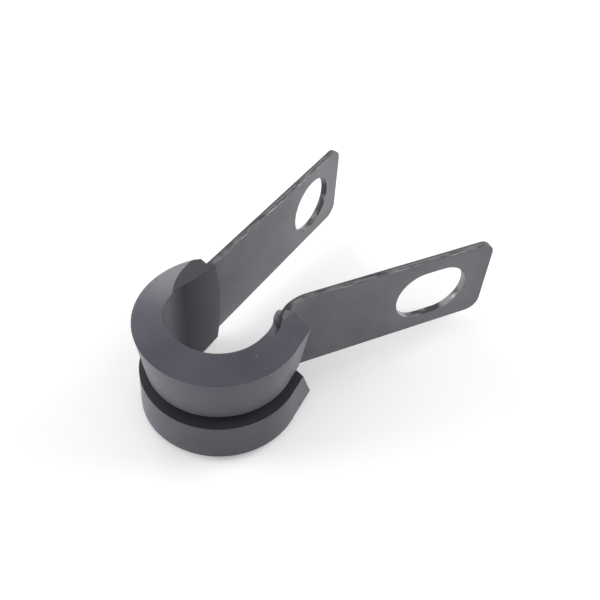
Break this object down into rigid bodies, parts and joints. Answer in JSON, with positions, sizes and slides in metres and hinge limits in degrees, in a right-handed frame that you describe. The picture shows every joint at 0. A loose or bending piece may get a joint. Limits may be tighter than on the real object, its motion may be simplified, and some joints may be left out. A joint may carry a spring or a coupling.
{
  "type": "p clip",
  "caption": "Rubber-lined P clip, sprung open: a folded steel strap with a round screw hole and an adjusting slot, its ring edged by a split rubber liner.",
  "frame": {"origin": "on the axis of the ring, level with the lower end of its bore", "axes": "+Z along the ring's axis, +X along the base leg towards its free end, +Y from the ring's axis towards the base leg and the surface that it is screwed to"},
  "size_m": [0.0507, 0.033, 0.0164],
  "materials": {
    "strap": "satin dark grey",
    "rubber_liner": "matt black"
  },
  "bodies": {
    "root": {"strap": "strap", "rubber_liner": "rubber_liner"}
  },
  "joints": []
}
